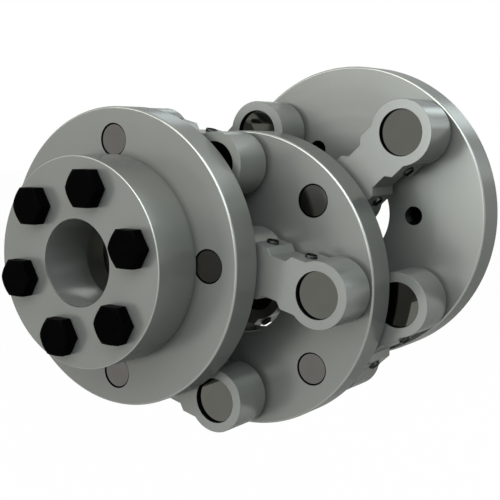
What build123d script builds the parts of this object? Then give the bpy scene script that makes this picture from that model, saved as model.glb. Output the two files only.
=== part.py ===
"""Offset shaft coupling with three discs and two sets of four parallel links.

The coupling joins two parallel shafts that are out of line. Each set of links is a
parallelogram: every link is as long as the offset between its two discs, so the discs
keep the same orientation while the links swing round them.

Frame: origin on the input shaft's axis, at the joint face between the input hub and its
disc, +Y along the shafts from the input to the output, +Z up. Sizes are in millimetres.
Angles run from X towards Z, as seen from the input side.
"""

import os
from math import asin, cos, degrees, pi, radians, sin, tan

from build123d import *

# Discs
disc_radius = 80.0
disc_thickness = 18.0
disc_edge_round = 1.0
middle_disc_bore_radius = 29.0
bore_edge_break = 0.3

# Pins, set in from the rims of the discs
pins_per_set = 4
pin_radius = 8.7
pin_edge_distance = 17.5
pin_circle_radius = disc_radius - pin_edge_distance
pin_recess = 0.6
pin_end_break = 0.7
pin_end_gap = 0.5

# Hubs, whose flanges just lap over the recessed ends of the pins
hub_over_pins = 1.2
hub_radius = pin_circle_radius - pin_radius + hub_over_pins
hub_length = 28.7
hub_bore_radius = 22.5
hub_edge_round = 0.6
spigot_wall = 3.0
spigot_length = 2.0
end_disc_bore_radius = hub_bore_radius + spigot_wall

# Hub screws, M12 with a hexagon head
screw_count = 6
screw_edge_distance = 15.0
screw_circle_radius = hub_radius - screw_edge_distance
screw_phase = 15.0
screw_radius = 6.0
screw_core_radius = 5.05
screw_length = 40.0
screw_point_break = 0.8
screw_hole_clearance = 0.75
head_sides = 6
head_flats = 19.0
head_height = 7.6
head_crown_share = 0.95
head_crown_angle = 30.0
washer_face_radius = 9.0
washer_face_height = 0.6

# Links, with bosses round the bearings on the pins
link_centres = 51.9
link_thickness = 23.0
bearing_wall = 3.3
bearing_bore_radius = pin_radius + bearing_wall
boss_wall = 5.1
boss_radius = bearing_bore_radius + boss_wall
shoulder_step = 3.2
shoulder_half_width = boss_radius - shoulder_step
waist_step = 3.2
waist_half_width = shoulder_half_width - waist_step
waist_half_length = 4.5
waist_slope_length = 2.9
link_edge_break = 0.15

# Bearings and sealing caps in the links, thrust washers beside them
bearing_length = 16.0
bearing_inset = 0.8
running_clearance = 0.04
cap_thickness = 2.0
cap_recess = 2.0
cap_edge_break = 0.3
thrust_washer_width = 5.0
thrust_washer_radius = pin_radius + thrust_washer_width
thrust_washer_thickness = 2.95
thrust_washer_clearance = 0.1
thrust_washer_play = 0.05

# Grease nipples on the links' shoulders
nipple_head_radius = 3.2
nipple_head_height = 1.6
nipple_stem_radius = 2.5
nipple_stem_length = 5.0
nipple_funnel_radius = 2.4
nipple_funnel_depth = 1.4
grease_way_into_bore = 0.5

# Directions of the two offsets
first_offset_angle = -14.1
second_offset_angle = 42.3

# Stations along the shafts
gap = link_thickness + 2 * (thrust_washer_thickness + thrust_washer_play)
input_disc_y = 0.0
first_gap_y = input_disc_y + disc_thickness
middle_disc_y = first_gap_y + gap
second_gap_y = middle_disc_y + disc_thickness
output_disc_y = second_gap_y + gap
output_hub_y = output_disc_y + disc_thickness

# Depths from a disc's free face, through the disc and on into the links it carries
link_near_depth = disc_thickness + (gap - link_thickness) / 2
cap_depth = link_near_depth + link_thickness - cap_recess - cap_thickness
pin_depth = cap_depth - pin_end_gap

# The cross drilling for grease runs beside the bearing's bore and just opens into it
nipple_place = link_centres / 2 - bearing_bore_radius - nipple_stem_radius + grease_way_into_bore


def polar(radius, angle):
    """Point at a radius and an angle in the X-Z plane."""
    return (radius * cos(radians(angle)), radius * sin(radians(angle)))


def shifted(point, step):
    """Point moved by a step in the X-Z plane."""
    return (point[0] + step[0], point[1] + step[1])


input_centre = (0.0, 0.0)
middle_centre = shifted(input_centre, polar(link_centres, first_offset_angle))
output_centre = shifted(middle_centre, polar(link_centres, second_offset_angle))

# The first set of pins starts on the X axis, the second half a step further round
pin_step = 360.0 / pins_per_set
first_turn = 0.0
second_turn = pin_step / 2

# A plane can face the input or the output
TO_INPUT = -1
TO_OUTPUT = 1


def facing(direction, y, centre):
    """Plane square to the shafts at a station y, with its normal toward one end."""
    return Plane(origin=(centre[0], y, centre[1]), x_dir=(-direction, 0, 0), z_dir=(0, direction, 0))


def circles(piece, radius):
    """Circular edges of one radius."""
    rings = piece.edges().filter_by(GeomType.CIRCLE)
    return rings.filter_by(lambda ring: abs(ring.radius - radius) < 0.01)


def save(piece, name):
    """Label a finished piece and write it to its own file."""
    piece.part.label = name
    export_step(piece.part, f"parts/{name}.step")


os.makedirs("parts", exist_ok=True)


# Hub: a thick flange with a spigot that centres it in the disc's bore
def make_hub(name, seat, turn):
    """Hub that stands on its seat plane, with its screw holes turned to suit the pins."""
    away_from_disc = Axis(seat.origin, seat.z_dir)
    with BuildPart() as hub:
        with BuildSketch(seat):
            Circle(hub_radius)
        extrude(amount=hub_length)
        fillet(hub.faces().sort_by(away_from_disc)[-1].edges(), hub_edge_round)
        with BuildSketch(seat):
            Circle(end_disc_bore_radius)
        extrude(amount=-spigot_length)
        with BuildSketch(seat.offset(-spigot_length)):
            Circle(hub_bore_radius)
        extrude(amount=hub_length + spigot_length, mode=Mode.SUBTRACT)
        chamfer(circles(hub, hub_bore_radius), bore_edge_break)
        with BuildSketch(seat):
            with PolarLocations(screw_circle_radius, screw_count, start_angle=turn + screw_phase):
                Circle(screw_radius + screw_hole_clearance)
        extrude(amount=hub_length, mode=Mode.SUBTRACT)
    save(hub, name)


input_hub_seat = facing(TO_INPUT, input_disc_y, input_centre)
output_hub_seat = facing(TO_OUTPUT, output_hub_y, output_centre)

make_hub("input_hub", input_hub_seat, first_turn)
make_hub("output_hub", output_hub_seat, second_turn)


# Disc: a turned plate bored for its pins, and tapped for the hub screws if it carries a hub
def make_disc(name, y, centre, bore_radius, pin_turns, hub_seat=None):
    """Disc from a station y onwards, with a ring of pin holes for each set of links it joins."""
    with BuildPart() as disc:
        with BuildSketch(facing(TO_INPUT, y, centre)):
            Circle(disc_radius)
            Circle(bore_radius, mode=Mode.SUBTRACT)
            for turn in pin_turns:
                with PolarLocations(pin_circle_radius, pins_per_set, start_angle=turn):
                    Circle(pin_radius, mode=Mode.SUBTRACT)
        extrude(amount=-disc_thickness)
        if hub_seat:
            first_hole_turn = pin_turns[0] + screw_phase
            with BuildSketch(hub_seat):
                with PolarLocations(screw_circle_radius, screw_count, start_angle=first_hole_turn):
                    Circle(screw_core_radius)
            extrude(amount=-disc_thickness, mode=Mode.SUBTRACT)
        fillet(circles(disc, disc_radius), disc_edge_round)
        chamfer(circles(disc, bore_radius), bore_edge_break)
    save(disc, name)


make_disc("input_disc", input_disc_y, input_centre, end_disc_bore_radius, [first_turn], input_hub_seat)
make_disc("middle_disc", middle_disc_y, middle_centre, middle_disc_bore_radius, [first_turn, second_turn])
make_disc("output_disc", output_disc_y, output_centre, end_disc_bore_radius, [second_turn], output_hub_seat)


# Hub screw: washer face, crowned hexagon, shank through the hub and core in the tapped hole
with BuildPart() as hub_screw:
    with BuildSketch(Plane.XY.offset(washer_face_height)):
        RegularPolygon(head_flats / 2, head_sides, major_radius=False)
    extrude(amount=head_height - washer_face_height)
    corner_radius = head_flats / 2 / cos(pi / head_sides)
    crown_radius = head_flats / 2 * head_crown_share
    crown_drop = (corner_radius - crown_radius) * tan(radians(head_crown_angle))
    with BuildSketch(Plane.XZ):
        with BuildLine():
            Polyline((crown_radius, head_height), (corner_radius, head_height),
                     (corner_radius, head_height - crown_drop), close=True)
        make_face()
    revolve(axis=Axis.Z, mode=Mode.SUBTRACT)
    with BuildSketch(Plane.XY):
        Circle(washer_face_radius)
    extrude(amount=washer_face_height)
    with BuildSketch(Plane.XY):
        Circle(screw_radius)
    extrude(amount=-hub_length)
    with BuildSketch(Plane.XY):
        Circle(screw_core_radius)
    extrude(amount=-screw_length)
    chamfer(hub_screw.faces().sort_by(Axis.Z)[0].edges(), screw_point_break)


def make_hub_screws(name, hub_face, turn):
    """The cap screws of one hub, every hexagon with a corner to the side."""
    with BuildPart(hub_face) as screws:
        with PolarLocations(screw_circle_radius, screw_count, start_angle=turn + screw_phase, rotate=False):
            add(hub_screw.part)
    save(screws, name)


make_hub_screws("input_hub_screws", input_hub_seat.offset(hub_length), first_turn)
make_hub_screws("output_hub_screws", output_hub_seat.offset(hub_length), second_turn)


# Pins: pressed through a disc from its free face and on into the links' bearings
def make_pins(name, direction, free_y, centre, turn):
    """One pin for each link of a set, numbered as the links are."""
    for number in range(pins_per_set):
        place = shifted(centre, polar(pin_circle_radius, turn + pin_step * number))
        with BuildPart() as pin:
            with BuildSketch(facing(direction, free_y, place).offset(-pin_recess)):
                Circle(pin_radius)
            extrude(amount=pin_recess - pin_depth)
            chamfer(circles(pin, pin_radius), pin_end_break)
        save(pin, f"{name}_{number + 1}")


make_pins("input_disc_pin", TO_INPUT, input_disc_y, input_centre, first_turn)
make_pins("middle_disc_first_pin", TO_OUTPUT, second_gap_y, middle_centre, first_turn)
make_pins("middle_disc_second_pin", TO_INPUT, middle_disc_y, middle_centre, second_turn)
make_pins("output_disc_pin", TO_OUTPUT, output_hub_y, output_centre, second_turn)


# Thrust washers: round the pins, between a disc and the links
def make_thrust_washers(name, direction, face_y, centre, turn):
    """One washer for each pin of a set, on the face that a disc turns toward the links."""
    with BuildPart() as washers:
        with BuildSketch(facing(TO_INPUT, face_y, centre)):
            with PolarLocations(pin_circle_radius, pins_per_set, start_angle=turn):
                Circle(thrust_washer_radius)
                Circle(pin_radius + thrust_washer_clearance, mode=Mode.SUBTRACT)
        extrude(amount=thrust_washer_thickness, dir=(0, direction, 0))
    save(washers, name)


make_thrust_washers("input_disc_washers", TO_OUTPUT, first_gap_y, input_centre, first_turn)
make_thrust_washers("middle_disc_first_washers", TO_INPUT, middle_disc_y, middle_centre, first_turn)
make_thrust_washers("middle_disc_second_washers", TO_OUTPUT, second_gap_y, middle_centre, second_turn)
make_thrust_washers("output_disc_washers", TO_INPUT, output_disc_y, output_centre, second_turn)


# Grease nipple: a round head with a funnel mouth on a short stem
with BuildPart() as nipple:
    with BuildSketch(Plane.XZ):
        with BuildLine():
            Polyline((0, -nipple_stem_length), (nipple_stem_radius, -nipple_stem_length),
                     (nipple_stem_radius, 0), (nipple_head_radius, 0),
                     (nipple_head_radius, nipple_head_height), (nipple_funnel_radius, nipple_head_height),
                     (0, nipple_head_height - nipple_funnel_depth), close=True)
        make_face()
    revolve(axis=Axis.Z)


# Links: two bearing bosses joined by an arm with shoulders and a notched waist
def make_links(name, first_disc_centre, gap_y, offset_angle, turn):
    """A set of parallel links with the bearings, caps and nipples that each one carries."""
    along = Vector(cos(radians(offset_angle)), 0, sin(radians(offset_angle)))
    sideways = Vector(-sin(radians(offset_angle)), 0, cos(radians(offset_angle)))
    shoulder_angle = degrees(asin(shoulder_half_width / boss_radius))
    boss_arc = 180 - shoulder_angle
    slope_half_length = waist_half_length + waist_slope_length
    boss_ends = Locations((-link_centres / 2, 0), (link_centres / 2, 0))
    nipple_ends = Locations((-nipple_place, 0), (nipple_place, 0))
    for number in range(pins_per_set):
        near_pin = shifted(first_disc_centre, polar(pin_circle_radius, turn + pin_step * number))
        far_pin = shifted(near_pin, polar(link_centres, offset_angle))
        middle = shifted(near_pin, polar(link_centres / 2, offset_angle))
        centre = Vector(middle[0], gap_y + gap / 2, middle[1])
        link_name = f"{name}_{number + 1}"

        with BuildPart() as link:
            with BuildSketch(Plane(origin=centre, x_dir=along, z_dir=(0, -1, 0))):
                with BuildLine():
                    near_boss = CenterArc((-link_centres / 2, 0), boss_radius, 180, -boss_arc)
                    far_boss = CenterArc((link_centres / 2, 0), boss_radius, boss_arc, -boss_arc)
                    Polyline(near_boss @ 1, (-slope_half_length, shoulder_half_width),
                             (-waist_half_length, waist_half_width), (waist_half_length, waist_half_width),
                             (slope_half_length, shoulder_half_width), far_boss @ 0)
                    Line(far_boss @ 1, near_boss @ 0)
                make_face()
                mirror(about=Plane.XZ)
                with boss_ends:
                    Circle(bearing_bore_radius, mode=Mode.SUBTRACT)
            extrude(amount=link_thickness / 2, both=True)
            chamfer(link.faces().filter_by(Axis.Y).edges(), link_edge_break)
            with BuildSketch(Plane(origin=centre, x_dir=along, z_dir=sideways)):
                with nipple_ends:
                    Circle(nipple_stem_radius)
            extrude(amount=shoulder_half_width, both=True, mode=Mode.SUBTRACT)
        save(link, link_name)

        pin_planes = [facing(TO_INPUT, gap_y - disc_thickness, near_pin),
                      facing(TO_OUTPUT, gap_y + gap + disc_thickness, far_pin)]

        with BuildPart() as bearings:
            with BuildSketch(*[plane.offset(-link_near_depth - bearing_inset) for plane in pin_planes]):
                Circle(bearing_bore_radius)
                Circle(pin_radius + running_clearance, mode=Mode.SUBTRACT)
            extrude(amount=-bearing_length)
        save(bearings, f"{link_name}_bearings")

        with BuildPart() as caps:
            with BuildSketch(*[plane.offset(-cap_depth) for plane in pin_planes]):
                Circle(bearing_bore_radius)
            extrude(amount=-cap_thickness)
            chamfer(circles(caps, bearing_bore_radius), cap_edge_break)
        save(caps, f"{link_name}_caps")

        with BuildPart(Plane(origin=centre + sideways * shoulder_half_width, x_dir=along, z_dir=sideways),
                       Plane(origin=centre - sideways * shoulder_half_width, x_dir=along,
                             z_dir=-sideways)) as nipples:
            with nipple_ends:
                add(nipple.part)
        save(nipples, f"{link_name}_nipples")


make_links("first_link", input_centre, first_gap_y, first_offset_angle, first_turn)
make_links("second_link", middle_centre, second_gap_y, second_offset_angle, second_turn)
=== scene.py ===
"""Looks of the offset shaft coupling: machined steel on a white ground."""

from math import cos, radians, sin

import bmesh
import bpy
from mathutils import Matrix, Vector


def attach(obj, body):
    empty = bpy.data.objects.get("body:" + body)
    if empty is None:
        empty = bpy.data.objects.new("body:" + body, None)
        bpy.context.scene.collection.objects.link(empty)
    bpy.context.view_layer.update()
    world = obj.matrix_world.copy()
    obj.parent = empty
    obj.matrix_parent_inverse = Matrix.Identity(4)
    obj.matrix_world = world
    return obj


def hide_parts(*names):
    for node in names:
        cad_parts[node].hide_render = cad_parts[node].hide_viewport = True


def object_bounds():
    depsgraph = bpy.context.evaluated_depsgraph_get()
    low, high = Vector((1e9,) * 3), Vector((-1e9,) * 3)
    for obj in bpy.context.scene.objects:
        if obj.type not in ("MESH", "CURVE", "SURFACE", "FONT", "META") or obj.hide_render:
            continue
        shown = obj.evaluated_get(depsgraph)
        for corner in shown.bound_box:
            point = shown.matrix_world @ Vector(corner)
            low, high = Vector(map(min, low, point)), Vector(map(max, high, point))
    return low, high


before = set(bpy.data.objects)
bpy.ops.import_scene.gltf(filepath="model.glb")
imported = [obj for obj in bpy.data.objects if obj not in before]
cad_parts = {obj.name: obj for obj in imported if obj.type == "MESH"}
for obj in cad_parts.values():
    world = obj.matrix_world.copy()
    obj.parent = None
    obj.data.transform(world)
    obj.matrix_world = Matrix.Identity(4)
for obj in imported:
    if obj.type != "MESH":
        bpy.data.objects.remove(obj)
cad_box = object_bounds()

MM = 0.001


def direction(angle):
    """Unit vector at an angle in the X-Z plane."""
    return Vector((cos(angle), 0.0, sin(angle)))


# Length and swing of the links, and the discs' centres in the X-Z plane that follow from them
LINK = 51.9 * MM
FIRST_ANGLE = radians(-14.1)
SECOND_ANGLE = radians(42.3)
INPUT = Vector((0.0, 0.0, 0.0))
MIDDLE = INPUT + LINK * direction(FIRST_ANGLE)
OUTPUT = MIDDLE + LINK * direction(SECOND_ANGLE)

# Faces of the discs along the shafts, and the middles of the two link sets
INPUT_DISC = (0.0, 18 * MM)
MIDDLE_DISC = (47 * MM, 65 * MM)
OUTPUT_DISC = (94 * MM, 112 * MM)
FIRST_LEVEL = 32.5 * MM
SECOND_LEVEL = 79.5 * MM

# Sizes that the finishes and the added pieces follow
DISC_RADIUS = 80 * MM
DISC_ROUND = 1.0 * MM
HUB_RADIUS = 55 * MM
HUB_ROUND = 0.6 * MM
SHAFT_BORE = 22.5 * MM
PIN_CIRCLE = 62.5 * MM
PIN_RADIUS = 8.7 * MM
PINS = 4
LINK_BORE = 12 * MM
SHOULDER = 13.9 * MM
SCREW_CIRCLE = 40 * MM
SCREWS = 6


# Shader node helpers
class Nodes:
    """Builds one material's node tree with short calls."""

    def __init__(self, name):
        self.material = bpy.data.materials.new(name)
        self.material.use_nodes = True
        self.tree = self.material.node_tree
        self.shader = self.tree.nodes["Principled BSDF"]
        self.object_position = self.add("ShaderNodeTexCoord").outputs["Object"]

    def add(self, kind, **values):
        node = self.tree.nodes.new(kind)
        for key, value in values.items():
            setattr(node, key, value)
        return node

    def link(self, source, socket):
        self.tree.links.new(source, socket)

    def feed(self, node, index, value):
        if isinstance(value, bpy.types.NodeSocket):
            self.link(value, node.inputs[index])
        else:
            node.inputs[index].default_value = value

    def math(self, operation, a, b=0.0):
        node = self.add("ShaderNodeMath", operation=operation)
        self.feed(node, 0, a)
        self.feed(node, 1, b)
        return node.outputs[0]

    def vector(self, operation, a, b=(0.0, 0.0, 0.0)):
        node = self.add("ShaderNodeVectorMath", operation=operation)
        self.feed(node, 0, a)
        self.feed(node, 1, b)
        return node.outputs["Value" if operation == "LENGTH" else "Vector"]

    def combine(self, x, y=0.0, z=0.0):
        node = self.add("ShaderNodeCombineXYZ")
        for index, value in enumerate((x, y, z)):
            self.feed(node, index, value)
        return node.outputs[0]

    def noise(self, position, scale, detail=2.0, roughness=0.5):
        node = self.add("ShaderNodeTexNoise")
        self.link(position, node.inputs["Vector"])
        node.inputs["Scale"].default_value = scale
        node.inputs["Detail"].default_value = detail
        node.inputs["Roughness"].default_value = roughness
        return node.outputs["Fac"]

    def spread(self, value, low, high, start=0.0, end=1.0):
        """Maps a value's range from start to end onto one from low to high."""
        node = self.add("ShaderNodeMapRange")
        for index, part in enumerate((value, start, end, low, high)):
            self.feed(node, index, part)
        return node.outputs[0]

    def mix(self, factor, a, b):
        node = self.add("ShaderNodeMix", data_type="RGBA")
        for index, value in ((0, factor), (6, a), (7, b)):
            self.feed(node, index, value)
        return node.outputs[2]

    def bump(self, height, strength, distance):
        node = self.add("ShaderNodeBump")
        node.inputs["Strength"].default_value = strength
        node.inputs["Distance"].default_value = distance
        self.link(height, node.inputs["Height"])
        return node.outputs[0]

    def finish(self, color, roughness, normal=None, metallic=1.0, gloss=0.0, edge=1.0):
        self.feed(self.shader, "Base Color", color)
        self.feed(self.shader, "Roughness", roughness)
        self.shader.inputs["Metallic"].default_value = metallic
        self.shader.inputs["Specular Tint"].default_value = (edge, edge, edge, 1.0)
        self.shader.inputs["Specular IOR Level"].default_value = gloss
        if normal:
            self.link(normal, self.shader.inputs["Normal"])
        return self.material


# Share of a clean, mirror-like surface in the machined steel; the rest is a dull grey film
SHEEN = 0.62

# How much of the gloss at a glancing angle the film leaves
EDGE_SHEEN = 0.45

# Roughness of machined steel, and how much it changes from patch to patch
MACHINED = (0.21, 0.29)
PATCHES = (-0.02, 0.02)

# Tones of single places as shares of the tone round them
MARK_SHARE = 1.3
# Painted light: the bore's wall is lightened, besides being smoother
BORE_LIGHT_SHARE = 1.25
# Painted shade: the edge at the bore's mouth is darkened to a fifth of the tone
BORE_EDGE_SHADE_SHARE = 0.2
# Painted highlight: the rounded rims are lightened, besides being polished smoother
RIM_HIGHLIGHT_SHARE = 1.4
# Painted shade: darker in the corners where the hubs stand on their discs
FOOT_SHADE_SHARE = 0.3
# Painted shade: the links' broken edges are darkened, besides being rougher
LINK_EDGE_SHADE_SHARE = 0.5

# How much of the steel the tool marks and the painted shade in the hubs' corners cover at most
TURNED_MARKS = 0.16
MILLED_MARKS = 0.14
FOOT_SHADE_COVER = 0.35

# What single places add to the roughness
BORE_ROUGHER = -0.02
RIM_ROUGHER = -0.1
LINK_WALL_ROUGHER = 0.3
LINK_EDGE_ROUGHER = 0.2

# Radii of single places, from the axis of a disc, a pin or a link bore
BORE_WALL = (SHAFT_BORE + 0.01 * MM, SHAFT_BORE + 0.04 * MM)
BORE_EDGE = (SHAFT_BORE + 0.03 * MM, SHAFT_BORE + 0.33 * MM)
DISC_RIM = (DISC_RADIUS - 0.95 * DISC_ROUND, DISC_RADIUS - 0.1 * MM)
HUB_RIM = (HUB_RADIUS - 0.95 * HUB_ROUND, HUB_RADIUS - 0.07 * MM)
HUB_FOOT = (HUB_RADIUS - 0.3 * MM, HUB_RADIUS + 0.4 * MM)
PIN_SEAM = (PIN_RADIUS + 0.06 * MM, PIN_RADIUS + 0.22 * MM)
LINK_WALL = (LINK_BORE + 0.06 * MM, LINK_BORE + 0.14 * MM)

# Levels along the shafts at which the hubs' outer rims begin, and those of the hubs' feet
INPUT_RIM = (-25 * MM, -24 * MM)
OUTPUT_RIM = (138 * MM, 139 * MM)
FOOT_LEVELS = (INPUT_DISC[0], OUTPUT_DISC[1])
FOOT_HALF = 0.3 * MM

# How far a link's edge, broken between an end face and the sides, looks along Y
LINK_EDGE_SLANT = (0.3, 0.9)

# Near black, painted as shade in the seams round the pins and on the walls of the link bores
SHADE_BLACK = (0.004, 0.004, 0.004, 1.0)


def tinted(tone, share):
    """A tone made lighter or darker by a share."""
    return tuple(c * share for c in tone) + (1.0,)


def mottled(n, factor, tone, darkest, lightest):
    """A tone that changes between two shares of itself."""
    return n.mix(factor, tinted(tone, darkest), tinted(tone, lightest))


def coated(n, mask, color, rough, coat, rougher):
    """Colour and roughness, with another colour and some roughness added where the mask is one."""
    return n.mix(mask, color, coat), n.math("ADD", rough, n.math("MULTIPLY", mask, rougher))


def split_position(n, centre):
    """The three coordinates from a disc's centre, and the radius from its axis."""
    split = n.add("ShaderNodeSeparateXYZ")
    n.link(n.vector("SUBTRACT", n.object_position, tuple(centre)), split.inputs[0])
    x, y, z = split.outputs
    return x, y, z, n.vector("LENGTH", n.combine(x, 0.0, z))


def above(n, value, low, high):
    """Nothing up to the lower limit and one from the higher limit on."""
    return n.spread(value, 0.0, 1.0, low, high)


def below(n, value, low, high):
    """One up to the lower limit and nothing from the higher limit on."""
    return n.spread(value, 1.0, 0.0, low, high)


def band(n, value, low, high, soft):
    """One inside a range of a coordinate and nothing outside, with soft borders."""
    return n.math("MULTIPLY", above(n, value, low - soft, low), below(n, value, high, high + soft))


def to_upright_pins(n, x, z):
    """Distance from the nearest pin axis of a set that stands right, left, above and below."""
    u, v = n.math("ABSOLUTE", x), n.math("ABSOLUTE", z)
    along = n.math("SUBTRACT", n.math("MAXIMUM", u, v), PIN_CIRCLE)
    return n.vector("LENGTH", n.combine(along, n.math("MINIMUM", u, v)))


def to_slanting_pins(n, x, z):
    """Distance from the nearest pin axis of a set that stands between those places."""
    reach = PIN_CIRCLE * cos(radians(45.0))
    u = n.math("SUBTRACT", n.math("ABSOLUTE", x), reach)
    v = n.math("SUBTRACT", n.math("ABSOLUTE", z), reach)
    return n.vector("LENGTH", n.combine(u, v))


def polished_highlight_rounds(n, y, radius):
    """One on the rounded rims of the discs and on the hubs' outer rims."""
    disc = band(n, radius, *DISC_RIM, soft=0.05 * MM)
    hub = band(n, radius, *HUB_RIM, soft=0.04 * MM)
    outer = n.math("ADD", below(n, y, *INPUT_RIM), above(n, y, *OUTPUT_RIM))
    return n.math("MAXIMUM", disc, n.math("MULTIPLY", hub, outer))


def hub_feet(n, y, radius):
    """One in the corners where the hubs stand on their discs, with wide soft borders: where shade
    is painted.
    """
    ring = band(n, radius, *HUB_FOOT, soft=3.0 * MM)
    levels = [band(n, y, level - FOOT_HALF, level + FOOT_HALF, soft=2.0 * MM)
              for level in FOOT_LEVELS]
    return n.math("MULTIPLY", ring, n.math("MAXIMUM", *levels))


def pin_seam_shade(n, x, y, z, disc, pin_sets):
    """One in the narrow gaps round the pins of a disc."""
    away = [to_pins(n, x, z) for to_pins in pin_sets]
    nearest = n.math("MINIMUM", away[0], away[-1])
    return n.math("MULTIPLY", below(n, nearest, *PIN_SEAM), band(n, y, *disc, soft=0.05 * MM))


def turned_steel(name, centre, tone, disc, pin_sets):
    """Fine turned steel: rings round the axis, smoother rounds lightened as a painted highlight, a
    smoother bore lightened as painted light with painted shade at its edge, painted shade in the
    hubs' corners and near-black painted shade in the seams round the pins.
    """
    n = Nodes(name)
    x, y, z, radius = split_position(n, centre)
    rings = n.combine(radius, y)
    fine = n.noise(rings, scale=5200.0, detail=3.0, roughness=0.6)
    broad = n.noise(rings, scale=420.0)
    cloud = n.noise(n.object_position, scale=26.0, detail=3.0)
    color = mottled(n, cloud, tone, darkest=0.94, lightest=1.05)
    color = n.mix(n.spread(fine, 0.0, TURNED_MARKS), color, tinted(tone, MARK_SHARE))
    rough = n.math("ADD", n.spread(broad, *MACHINED), n.spread(cloud, *PATCHES))

    # Painted light: the bore's wall is lighter, and a little smoother
    wall = below(n, radius, *BORE_WALL)
    color, rough = coated(n, wall, color, rough, tinted(tone, BORE_LIGHT_SHARE), BORE_ROUGHER)
    # Painted shade: a dark band at the bore's mouth
    edge = band(n, radius, *BORE_EDGE, soft=0.03 * MM)
    color = n.mix(edge, color, tinted(tone, BORE_EDGE_SHADE_SHARE))
    # The rounded rims are polished smoother and lightened as a painted highlight
    rounds = polished_highlight_rounds(n, y, radius)
    color, rough = coated(n, rounds, color, rough, tinted(tone, RIM_HIGHLIGHT_SHARE), RIM_ROUGHER)
    # Painted shade: darker in the corners where the hubs stand on their discs
    feet = n.math("MULTIPLY", hub_feet(n, y, radius), FOOT_SHADE_COVER)
    color = n.mix(feet, color, tinted(tone, FOOT_SHADE_SHARE))
    # Painted shade: near black in the narrow seams round the pins
    color = n.mix(pin_seam_shade(n, x, y, z, disc, pin_sets), color, SHADE_BLACK)
    relief = n.bump(fine, strength=0.08, distance=0.05 * MM)
    return n.finish(color, rough, relief, metallic=SHEEN, edge=EDGE_SHEEN)


def milled_steel(name, tone, near, far, to_pins):
    """Fine milled steel: short marks, rougher broken edges darkened as painted shade, and
    near-black painted shade on the walls of its two bores.
    """
    n = Nodes(name)
    stretched = n.vector("MULTIPLY", n.object_position, (1.0, 0.35, 1.0))
    marks = n.noise(stretched, scale=1500.0, detail=3.0, roughness=0.6)
    cloud = n.noise(n.object_position, scale=40.0, detail=3.0)
    color = mottled(n, cloud, tone, darkest=0.93, lightest=1.06)
    color = n.mix(n.spread(marks, 0.0, MILLED_MARKS), color, tinted(tone, MARK_SHARE))
    rough = n.math("ADD", n.spread(marks, *MACHINED), n.spread(cloud, *PATCHES))

    away = []
    for centre in (near, far):
        x, _, z, _ = split_position(n, centre)
        away.append(to_pins(n, x, z))
    # Painted shade: near black on the walls of the link's two bores, which are also made rougher
    wall = below(n, n.math("MINIMUM", *away), *LINK_WALL)
    color, rough = coated(n, wall, color, rough, SHADE_BLACK, LINK_WALL_ROUGHER)
    facing = n.add("ShaderNodeSeparateXYZ")
    n.link(n.add("ShaderNodeNewGeometry").outputs["True Normal"], facing.inputs[0])
    # Painted shade: the broken edges are darkened to half the tone, and made rougher
    edge = band(n, n.math("ABSOLUTE", facing.outputs["Y"]), *LINK_EDGE_SLANT, soft=0.05)
    color, rough = coated(n, edge, color, rough, tinted(tone, LINK_EDGE_SHADE_SHARE), LINK_EDGE_ROUGHER)
    relief = n.bump(marks, strength=0.06, distance=0.05 * MM)
    return n.finish(color, rough, relief, metallic=SHEEN, edge=EDGE_SHEEN)


def ground_steel(name, tone, roughness):
    """Ground or polished steel, with faint hairline marks."""
    n = Nodes(name)
    stretched = n.vector("MULTIPLY", n.object_position, (1.0, 0.2, 1.0))
    hair = n.noise(stretched, scale=3800.0)
    cloud = n.noise(n.object_position, scale=120.0)
    color = mottled(n, cloud, tone, darkest=0.92, lightest=1.07)
    rough = n.spread(hair, low=roughness * 0.8, high=roughness * 1.2)
    rough = n.math("MULTIPLY", rough, n.spread(cloud, low=0.9, high=1.1))
    return n.finish(color, rough, n.bump(hair, strength=0.03, distance=0.02 * MM))


# Darkest and lightest colour of the oxide and of the bronze
OXIDE = ((0.0003, 0.0003, 0.0004, 1.0), (0.0010, 0.0009, 0.0009, 1.0))
BRONZE = ((0.10, 0.065, 0.032, 1.0), (0.17, 0.115, 0.06, 1.0))


def black_oxide(name):
    """Black oxide on forged heads, with a faint grain."""
    n = Nodes(name)
    grain = n.noise(n.object_position, scale=900.0, detail=3.0, roughness=0.6)
    cloud = n.noise(n.object_position, scale=130.0)
    rough = n.spread(grain, low=0.34, high=0.46)
    rough = n.math("ADD", rough, n.spread(cloud, low=-0.04, high=0.04))
    relief = n.bump(grain, strength=0.18, distance=0.1 * MM)
    return n.finish(n.mix(cloud, *OXIDE), rough, relief, metallic=0.0, gloss=0.004)


def dull_bronze(name):
    """Dull bronze of the thrust washers."""
    n = Nodes(name)
    grain = n.noise(n.object_position, scale=1600.0, detail=3.0)
    rough = n.spread(grain, low=0.42, high=0.55)
    relief = n.bump(grain, strength=0.08, distance=0.05 * MM)
    return n.finish(n.mix(grain, *BRONZE), rough, relief)


# Tones of the kinds of steel, kept dark because the white that they mirror lightens them
DISC_TONE = (0.182, 0.1835, 0.167)
LINK_TONE = (0.209, 0.211, 0.194)
PIN_TONE = (0.130, 0.124, 0.116)
CAP_TONE = (0.118, 0.118, 0.103)
BEARING_TONE = (0.16, 0.16, 0.15)
NIPPLE_TONE = (0.036, 0.036, 0.035)
# Painted shade: the nipples' mouths are near black
MOUTH_SHADE_TONE = (0.004, 0.004, 0.004)
# Painted shade: the threads in the tapped holes are near black
THREAD_SHADE_TONE = (0.008, 0.008, 0.008)

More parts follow.
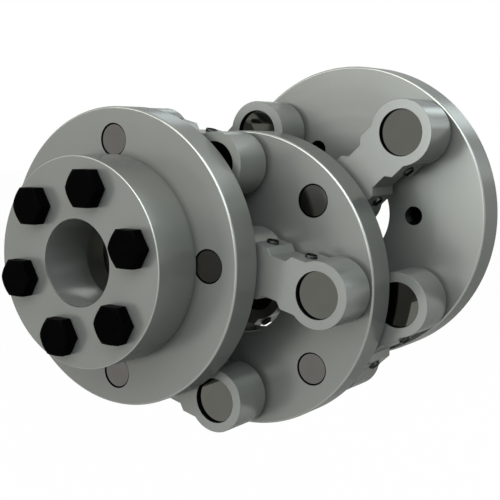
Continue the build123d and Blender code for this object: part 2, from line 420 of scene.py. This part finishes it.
DISCS = {"input": (INPUT, INPUT_DISC, (to_upright_pins,)),
         "middle": (MIDDLE, MIDDLE_DISC, (to_upright_pins, to_slanting_pins)),
         "output": (OUTPUT, OUTPUT_DISC, (to_slanting_pins,))}
turned = {body: turned_steel(f"turned_steel_{body}", centre, DISC_TONE, disc, pin_sets)
          for body, (centre, disc, pin_sets) in DISCS.items()}
first_milled = milled_steel("first_milled_steel", LINK_TONE, INPUT, MIDDLE, to_upright_pins)
second_milled = milled_steel("second_milled_steel", LINK_TONE, MIDDLE, OUTPUT, to_slanting_pins)
pin_steel = ground_steel("ground_pin_steel", PIN_TONE, roughness=0.12)
cap_steel = ground_steel("polished_cap_steel", CAP_TONE, roughness=0.05)
bearing_steel = ground_steel("bearing_steel", BEARING_TONE, roughness=0.25)
nipple_steel = ground_steel("nipple_steel", NIPPLE_TONE, roughness=0.36)
# Painted shade: near black in the nipples' mouths
mouth_shade_steel = ground_steel("shaded_nipple_mouth", MOUTH_SHADE_TONE, roughness=0.5)
# Painted shade: near black on the threads in the tapped holes
thread_shade_steel = ground_steel("shaded_thread_steel", THREAD_SHADE_TONE, roughness=0.35)
oxide = black_oxide("black_oxide")
bronze = dull_bronze("dull_bronze")


def material_of(node):
    """The finish of a CAD node, from the kind of piece that it is."""
    end = node.split("_")[0]
    if node.endswith("hub_screws"):
        return oxide
    if node.endswith(("_hub", "_disc")):
        return turned[end]
    if node.endswith("washers"):
        return bronze
    if "_pin_" in node:
        return pin_steel
    if node.endswith("caps"):
        return cap_steel
    if node.endswith("bearings"):
        return bearing_steel
    if node.endswith("nipples"):
        return nipple_steel
    return first_milled if end == "first" else second_milled


for node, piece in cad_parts.items():
    piece.data.materials.clear()
    piece.data.materials.append(material_of(node))


def new_piece(name, mesh, *materials):
    """A piece of the coupling made from a bmesh, which is freed."""
    data = bpy.data.meshes.new(name)
    mesh.to_mesh(data)
    mesh.free()
    for material in materials:
        data.materials.append(material)
    piece = bpy.data.objects.new(name, data)
    bpy.context.collection.objects.link(piece)
    return piece


# Threads in the free ends of the tapped holes, near black as painted shade in the holes
HOLE_WALL = 5.045 * MM
THREAD_ROOT = 5.02 * MM
THREAD_CREST = 4.5 * MM
THREAD_PITCH = 1.75 * MM
THREAD_LENGTH = 6.7 * MM
THREAD_SIDES = 32
WELD = 1e-7

# Corners of the thread's profile, as shares of the pitch from the middle of the root
ROOT_END, CREST_START = 0.06, 0.40
THREAD_ROWS = (ROOT_END, CREST_START, 1.0 - CREST_START, 1.0 - ROOT_END)


def thread_radius(depth, turn):
    """Radius of the threaded wall at a depth from the screw's end, countersunk at the open end."""
    phase = (depth / THREAD_PITCH - turn) % 1.0
    from_root = min(phase, 1.0 - phase)
    rise = min(1.0, max(0.0, (from_root - ROOT_END) / (CREST_START - ROOT_END)))
    countersink = THREAD_ROOT - (THREAD_LENGTH - depth)
    return max(THREAD_ROOT - (THREAD_ROOT - THREAD_CREST) * rise, countersink)


def thread_sleeve(mesh, centre, screw_end, way):
    """Closed sleeve on a hole's wall with a right-hand thread inside, open towards +Y or -Y."""
    pitches = range(-2, int(THREAD_LENGTH / THREAD_PITCH) + 3)
    columns = []
    for side in range(THREAD_SIDES + 1):
        turn = -way * side / THREAD_SIDES
        outward = direction(radians(360.0 * side / THREAD_SIDES))
        depths = [(whole + row + turn) * THREAD_PITCH for whole in pitches for row in THREAD_ROWS]
        depths = [min(max(depth, 0.0), THREAD_LENGTH) for depth in depths]
        points = [(THREAD_LENGTH, HOLE_WALL), (0.0, HOLE_WALL)]
        points += [(depth, thread_radius(depth, turn)) for depth in depths]
        column = []
        for depth, radius in points:
            place = centre + radius * outward
            place.y = screw_end + way * depth
            column.append(mesh.verts.new(place))
        columns.append(column)
    for one, other in zip(columns, columns[1:]):
        for k in range(len(one)):
            mesh.faces.new((one[k - 1], one[k], other[k], other[k - 1]))


def threads(name, body, centre, first_turn, screw_end, way):
    """Threads in the tapped holes of a disc, as one piece."""
    mesh = bmesh.new()
    for number in range(SCREWS):
        turn = radians(first_turn + 360.0 / SCREWS * number)
        thread_sleeve(mesh, centre + SCREW_CIRCLE * direction(turn), screw_end, way)
    bmesh.ops.remove_doubles(mesh, verts=mesh.verts, dist=WELD)
    bmesh.ops.dissolve_degenerate(mesh, edges=mesh.edges, dist=WELD)
    bmesh.ops.recalc_face_normals(mesh, faces=mesh.faces)
    piece = new_piece(name, mesh, thread_shade_steel)
    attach(piece, body)


threads("input_disc_threads", "input_end", INPUT, first_turn=15.0,
        screw_end=INPUT_DISC[1] - THREAD_LENGTH, way=1)
threads("output_disc_threads", "output_end", OUTPUT, first_turn=0.0,
        screw_end=OUTPUT_DISC[0] + THREAD_LENGTH, way=-1)


# Grease nipples: round heads with a dished mouth and a ball, in place of the plain ones; mouth and
# ball are near black as painted shade
NIPPLE_PLACE = 11.95 * MM
NIPPLE_SIDES = 32
SMOOTH_UP_TO = radians(40.0)

# Radius and height above the link's shoulder in mm, first for stem and head, then for the mouth
NIPPLE_HEAD = ((0.0, -5.0), (2.48, -5.0), (2.48, 0.0), (3.1, 0.0), (3.2, 0.1), (3.2, 1.25),
               (3.08, 1.45), (2.88, 1.52), (2.7, 1.42))
NIPPLE_MOUTH = ((2.56, 1.15), (1.5, -0.6), (1.0, -1.2), (0.85, -1.0), (0.5, -0.7), (0.0, -0.6))


def nipple(mesh, foot, up, along):
    """One nipple, turned round its axis from the shoulder upward."""
    across = along.cross(up)
    turns = [radians(360.0 * k / NIPPLE_SIDES) for k in range(NIPPLE_SIDES)]
    rings = []
    for radius, height in NIPPLE_HEAD + NIPPLE_MOUTH:
        middle = foot + height * MM * up
        if radius == 0.0:
            rings.append([mesh.verts.new(middle)] * NIPPLE_SIDES)
            continue
        rings.append([mesh.verts.new(middle + radius * MM * (cos(t) * along + sin(t) * across))
                      for t in turns])
    for row, (one, other) in enumerate(zip(rings, rings[1:]), start=1):
        for k in range(NIPPLE_SIDES):
            corners = dict.fromkeys((one[k - 1], one[k], other[k], other[k - 1]))
            face = mesh.faces.new(list(corners))
            face.smooth = True
            face.material_index = int(row >= len(NIPPLE_HEAD))


def nipples(name, body, centre, along, outward):
    """The four nipples of a link as one piece, two on each shoulder."""
    mesh = bmesh.new()
    for up in (-outward, outward):
        for end in (-1, 1):
            nipple(mesh, centre + SHOULDER * up + end * NIPPLE_PLACE * along, up, along)
    bmesh.ops.recalc_face_normals(mesh, faces=mesh.faces)
    for edge in mesh.edges:
        edge.smooth = edge.calc_face_angle(0.0) < SMOOTH_UP_TO
    piece = new_piece(name, mesh, nipple_steel, mouth_shade_steel)
    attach(piece, body)
    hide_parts(f"{body}_nipples")


# Name, centre of the disc before it, swing, first pin's place and level of each link set
LINK_SETS = (("first_link", INPUT, FIRST_ANGLE, 0.0, FIRST_LEVEL),
             ("second_link", MIDDLE, SECOND_ANGLE, 45.0, SECOND_LEVEL))
for set_name, disc_centre, swing, first_pin, level in LINK_SETS:
    along, outward = direction(swing), direction(swing + radians(90.0))
    for number in range(PINS):
        pin = direction(radians(first_pin + 360.0 / PINS * number))
        centre = disc_centre + PIN_CIRCLE * pin + LINK / 2 * along
        centre.y = level
        link = f"{set_name}_{number + 1}"
        nipples(f"{link}_grease_nipples", link, centre, along, outward)


def seen_directly(tree):
    """One for rays from the camera, mirrors and glass, and nothing for light on other surfaces."""
    path = tree.nodes.new("ShaderNodeLightPath")
    seen = path.outputs["Is Camera Ray"]
    for kind in ("Is Glossy Ray", "Is Transmission Ray"):
        larger = tree.nodes.new("ShaderNodeMath")
        larger.operation = "MAXIMUM"
        tree.links.new(seen, larger.inputs[0])
        tree.links.new(path.outputs[kind], larger.inputs[1])
        seen = larger.outputs[0]
    return seen


# Floor: well below the coupling, which its shafts hold up, and nearly white where seen directly
FLOOR_HALF = 6.0
FLOOR_DROP = 0.16
FLOOR_COLOR = (0.60, 0.60, 0.59, 1.0)
FLOOR_WHITE = 0.985
FLOOR_CORNERS = ((-1, -1), (1, -1), (1, 1), (-1, 1))

floor_z = cad_box[0][2] - FLOOR_DROP
floor_mesh = bpy.data.meshes.new("floor")
floor_mesh.from_pydata([(x * FLOOR_HALF, y * FLOOR_HALF, floor_z) for x, y in FLOOR_CORNERS],
                       [], [(0, 1, 2, 3)])
floor = bpy.data.objects.new("floor", floor_mesh)
bpy.context.collection.objects.link(floor)
ground = Nodes("pale_floor")
ground.finish(FLOOR_COLOR, roughness=0.8, metallic=0.0)
glow = ground.add("ShaderNodeEmission")
glow.inputs["Strength"].default_value = 1.0
blend = ground.add("ShaderNodeMixShader")
ground.link(ground.math("MULTIPLY", seen_directly(ground.tree), FLOOR_WHITE), blend.inputs[0])
ground.link(ground.shader.outputs[0], blend.inputs[1])
ground.link(glow.outputs[0], blend.inputs[2])
ground.link(blend.outputs[0], ground.tree.nodes["Material Output"].inputs["Surface"])
floor_mesh.materials.append(ground.material)


# World: even and faint as a light, and white where seen directly
ROOM_COLOR = (0.93, 0.96, 1.0, 1.0)
ROOM_STRENGTH = 0.10
WHITE = (1.0, 1.0, 1.0, 1.0)

world = bpy.data.worlds.new("studio")
bpy.context.scene.world = world
world.use_nodes = True
tree = world.node_tree
tree.nodes.clear()
either = tree.nodes.new("ShaderNodeMixShader")
tree.links.new(seen_directly(tree), either.inputs[0])
for index, color, strength in ((1, ROOM_COLOR, ROOM_STRENGTH), (2, WHITE, 1.0)):
    background = tree.nodes.new("ShaderNodeBackground")
    background.inputs["Color"].default_value = color
    background.inputs["Strength"].default_value = strength
    tree.links.new(background.outputs[0], either.inputs[index])
out = tree.nodes.new("ShaderNodeOutputWorld")
tree.links.new(either.outputs[0], out.inputs["Surface"])


# Softboxes round the coupling, each turned toward its middle
AIM = Vector((0.045, 0.05, 0.0))
LAMP_DISTANCE = 1.1
WARM = (1.0, 1.0, 0.98)
COOL = (0.82, 0.92, 1.0)

# Azimuth from -Y towards +X and elevation in degrees, side in metres, power in watts, colour
LAMPS = ((0, 40, 0.75, 8.0, WARM), (45, 40, 0.75, 8.0, COOL), (135, 40, 0.75, 3.8, COOL),
         (180, 40, 0.75, 1.3, COOL), (0, 0, 0.75, 2.0, WARM), (135, 0, 0.75, 0.3, COOL),
         (148, 17, 0.25, 0.6, COOL), (171, 26, 0.2, 1.0, COOL), (212, 31, 0.2, 0.78, COOL),
         (-7, 6, 0.36, 1.8, COOL), (-75, 0, 0.36, 0.5, WARM), (-15, 20, 0.36, 1.8, COOL),
         (-35, 22, 0.36, 1.9, WARM), (-55, 20, 0.36, 0.5, WARM))


def softbox(name, azimuth, elevation, width, height, power, color):
    """Area lamp at an azimuth and an elevation, aimed at the coupling."""
    lamp = bpy.data.lights.new(name, "AREA")
    lamp.shape = "RECTANGLE"
    lamp.size = width
    lamp.size_y = height
    lamp.energy = power
    lamp.color = color
    holder = bpy.data.objects.new(name, lamp)
    a, e = radians(azimuth), radians(elevation)
    away = Vector((sin(a) * cos(e), -cos(a) * cos(e), sin(e)))
    holder.location = AIM + away * LAMP_DISTANCE
    holder.rotation_euler = away.to_track_quat("Z", "Y").to_euler()
    bpy.context.collection.objects.link(holder)


for number, (azimuth, elevation, side, power, color) in enumerate(LAMPS, start=1):
    softbox(f"softbox_{number}", azimuth, elevation, side, side, power, color)
softbox("strip", azimuth=52, elevation=35, width=0.1, height=1.1, power=4.0, color=COOL)


# Camera at the photograph's angle, with its turns in degrees
CAMERA_PLACE = (0.359972, -0.386727, 0.066554)
CAMERA_DOWN, CAMERA_ROLL, CAMERA_TURN = 6.805, -0.102, 35.124
LENS = 71.16
SENSOR_WIDTH = 36.0

camera = bpy.data.objects.new("camera", bpy.data.cameras.new("camera"))
camera.data.sensor_fit = "HORIZONTAL"
camera.data.sensor_width = SENSOR_WIDTH
camera.data.lens = LENS
camera.location = CAMERA_PLACE
camera.rotation_euler = (radians(90.0 - CAMERA_DOWN), radians(CAMERA_ROLL), radians(CAMERA_TURN))
bpy.context.collection.objects.link(camera)
bpy.context.scene.camera = camera
bpy.context.scene.view_settings.view_transform = "Standard"
